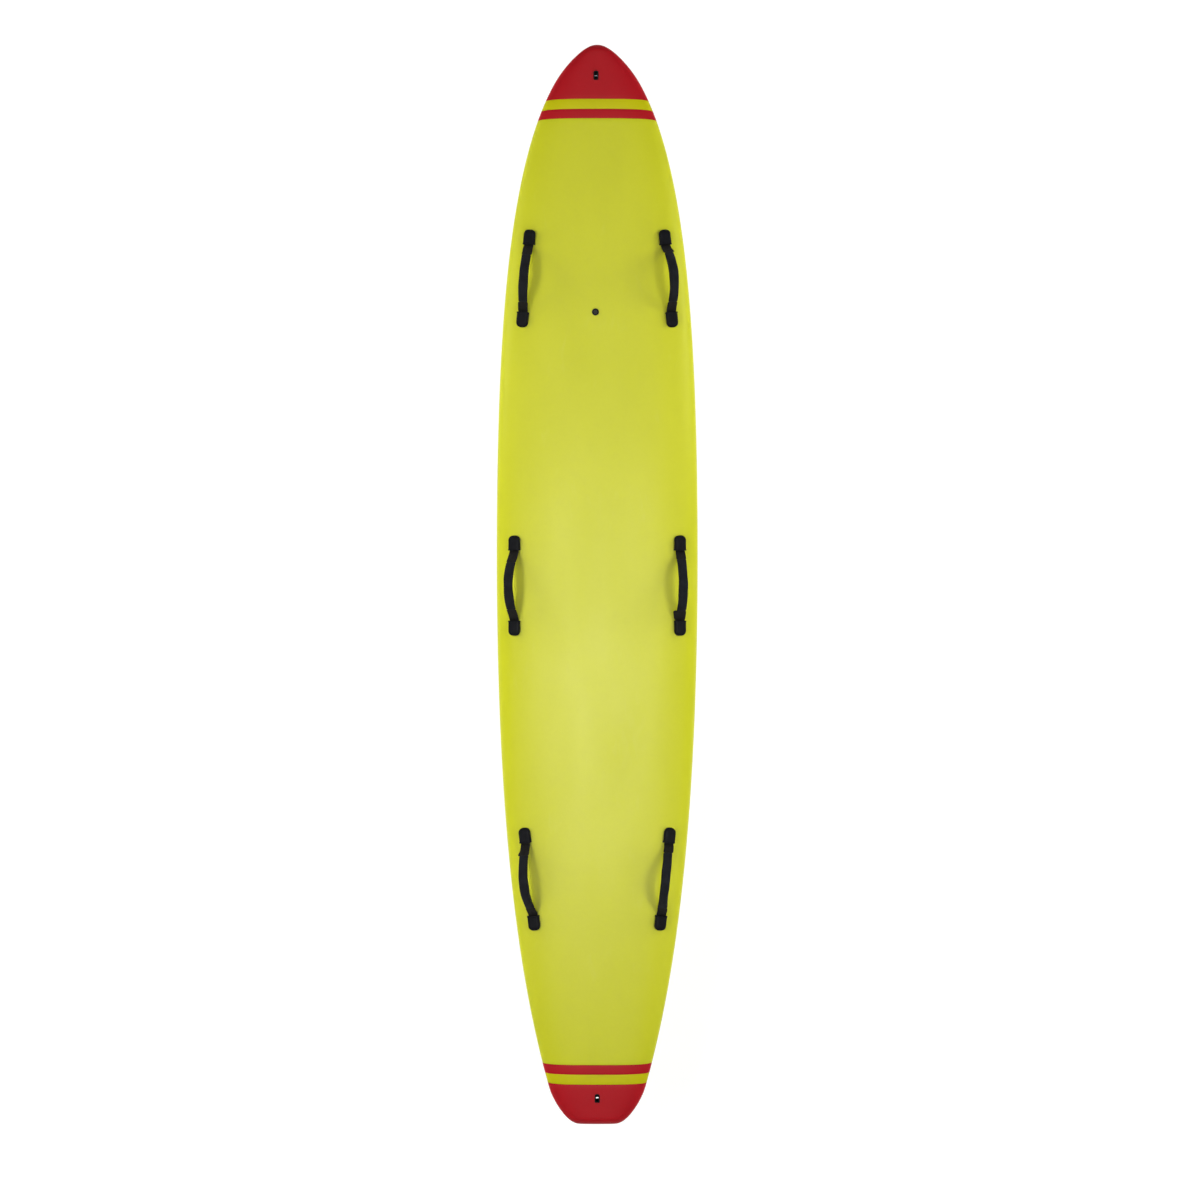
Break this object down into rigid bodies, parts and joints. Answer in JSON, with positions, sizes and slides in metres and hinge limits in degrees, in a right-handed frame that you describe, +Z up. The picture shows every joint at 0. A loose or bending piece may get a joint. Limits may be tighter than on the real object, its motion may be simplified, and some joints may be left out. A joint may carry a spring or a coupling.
{
  "type": "lifeguard rescue board",
  "caption": "Soft-deck prone paddle board for lifeguards, lime yellow with red tips, padded rail handles that lean, a vent plug, tow fittings and a fin.",
  "frame": {"origin": "on the flat of the hull's bottom, on the centreline, halfway between the nose tip and the tail end", "axes": "+Y to the nose along the board, +X to the right as a rider facing the nose sees it, +Z up out of the deck"},
  "size_m": [0.602, 3.2, 0.3365],
  "materials": {
    "deck_lime": "matte closed-cell foam deck pad, lime yellow",
    "deck_yellow": "matte closed-cell foam deck pad, yellow",
    "deck_red": "matte closed-cell foam deck pad, red",
    "bottom_skin": "gloss slick bottom skin, lime yellow",
    "deck_laminate": "glass fibre laminate under the deck pads",
    "foam_core": "expanded polystyrene bead foam",
    "stringer_ply": "plywood stringer",
    "handle_sleeve": "matte black neoprene sleeve",
    "handle_webbing": "black woven nylon webbing",
    "handle_cap": "satin black moulded nylon",
    "deck_screw": "stainless steel",
    "vent_plastic": "black moulded nylon",
    "vent_seal": "black rubber",
    "tow_cup": "black moulded nylon",
    "tow_pin": "stainless steel",
    "fin_box": "black moulded plastic",
    "fin_flex": "satin black flexible urethane",
    "fin_screw": "stainless steel",
    "fin_plate": "satin brass"
  },
  "bodies": {
    "board": {"front_left_strap": "handle_webbing", "front_left_cap_fore": "handle_cap", "front_left_cap_aft": "handle_cap", "front_left_screw_fore": "deck_screw", "front_left_screw_aft": "deck_screw", "front_right_strap": "handle_webbing", "front_right_cap_fore": "handle_cap", "front_right_cap_aft": "handle_cap", "front_right_screw_fore": "deck_screw", "front_right_screw_aft": "deck_screw", "mid_left_strap": "handle_webbing", "mid_left_cap_fore": "handle_cap", "mid_left_cap_aft": "handle_cap", "mid_left_screw_fore": "deck_screw", "mid_left_screw_aft": "deck_screw", "mid_right_strap": "handle_webbing", "mid_right_cap_fore": "handle_cap", "mid_right_cap_aft": "handle_cap", "mid_right_screw_fore": "deck_screw", "mid_right_screw_aft": "deck_screw", "rear_left_strap": "handle_webbing", "rear_left_cap_fore": "handle_cap", "rear_left_cap_aft": "handle_cap", "rear_left_screw_fore": "deck_screw", "rear_left_screw_aft": "deck_screw", "rear_right_strap": "handle_webbing", "rear_right_cap_fore": "handle_cap", "rear_right_cap_aft": "handle_cap", "rear_right_screw_fore": "deck_screw", "rear_right_screw_aft": "deck_screw", "bottom_shell": "bottom_skin", "deck_shell": "deck_laminate", "core_left": "foam_core", "core_right": "foam_core", "stringer": "stringer_ply", "nose_pad": "deck_red", "nose_band": "deck_yellow", "nose_stripe": "deck_red", "main_deck_pad": "deck_lime", "tail_stripe": "deck_red", "tail_band": "deck_yellow", "tail_pad": "deck_red", "vent_body": "vent_plastic", "nose_tow_cup": "tow_cup", "nose_tow_pin": "tow_pin", "tail_tow_cup": "tow_cup", "tail_tow_pin": "tow_pin", "fin_box": "fin_box"},
    "front_left_handle": {"front_left_grip": "handle_sleeve"},
    "front_right_handle": {"front_right_grip": "handle_sleeve"},
    "mid_left_handle": {"mid_left_grip": "handle_sleeve"},
    "mid_right_handle": {"mid_right_grip": "handle_sleeve"},
    "rear_left_handle": {"rear_left_grip": "handle_sleeve"},
    "rear_right_handle": {"rear_right_grip": "handle_sleeve"},
    "vent_ring": {"vent_o_ring": "vent_seal"},
    "vent_screw": {"vent_screw": "vent_plastic"},
    "fin": {"fin": "fin_flex"},
    "fin_screw": {"fin_screw": "fin_screw"},
    "fin_plate": {"fin_plate": "fin_plate"}
  },
  "joints": [
    {"name": "front_left_lean", "type": "hinge", "parent": "board", "child": "front_left_handle", "pos_m": [-0.21071, 0.91746, 0.13671], "axis": [0.0878, 0.9956, 0.0338], "range_deg": [-49, 31], "stiffness_Nm_per_rad": 0.8, "deforming": ["front_left_strap"]},
    {"name": "front_right_lean", "type": "hinge", "parent": "board", "child": "front_right_handle", "pos_m": [0.21071, 0.91746, 0.13671], "axis": [-0.0878, 0.9956, 0.0338], "range_deg": [-41, 39], "stiffness_Nm_per_rad": 0.8, "deforming": ["front_right_strap"]},
    {"name": "mid_left_lean", "type": "hinge", "parent": "board", "child": "mid_left_handle", "pos_m": [-0.24534, 0.0095, 0.12979], "axis": [0.0002, 1, 0.0016], "range_deg": [-41, 39], "stiffness_Nm_per_rad": 0.8, "deforming": ["mid_left_strap"]},
    {"name": "mid_right_lean", "type": "hinge", "parent": "board", "child": "mid_right_handle", "pos_m": [0.24534, 0.0095, 0.12979], "axis": [-0.0002, 1, 0.0016], "range_deg": [-30, 50], "stiffness_Nm_per_rad": 0.8, "deforming": ["mid_right_strap"]},
    {"name": "rear_left_lean", "type": "hinge", "parent": "board", "child": "rear_left_handle", "pos_m": [-0.20107, -0.86062, 0.12305], "axis": [-0.104, 0.9945, 0.0129], "range_deg": [-38.5, 41.5], "stiffness_Nm_per_rad": 0.8, "deforming": ["rear_left_strap"]},
    {"name": "rear_right_lean", "type": "hinge", "parent": "board", "child": "rear_right_handle", "pos_m": [0.20107, -0.86062, 0.12305], "axis": [0.104, 0.9945, 0.0129], "range_deg": [-24.5, 55.5], "stiffness_Nm_per_rad": 0.8, "deforming": ["rear_right_strap"]},
    {"name": "vent_lift", "type": "slide", "parent": "board", "child": "vent_ring", "axis": [0, -0.0165, 0.9999], "range_m": [0, 0.00281]},
    {"name": "vent_turn", "type": "hinge", "parent": "vent_ring", "child": "vent_screw", "pos_m": [-0.005, 0.817, 0.14422], "axis": [0, -0.0165, 0.9999], "range_deg": [0, 900]},
    {"name": "fin_slide", "type": "slide", "parent": "board", "child": "fin", "axis": [0, 0.9982, -0.06], "range_m": [-0.025, 0.025]},
    {"name": "fin_screw_turn", "type": "hinge", "parent": "fin", "child": "fin_screw", "pos_m": [0, -1.13915, 0.02251], "axis": [0, -0.06, -0.9982], "range_deg": [0, 450]},
    {"name": "fin_plate_draw", "type": "slide", "parent": "fin", "child": "fin_plate", "axis": [0, 0.06, 0.9982], "range_m": [0, 0.0007]}
  ],
  "couplings": [
    {"joint": "vent_turn", "follows": "vent_lift", "rad_per_m": 5026.5},
    {"joint": "fin_screw_turn", "follows": "fin_plate_draw", "rad_per_m": 8976}
  ]
}
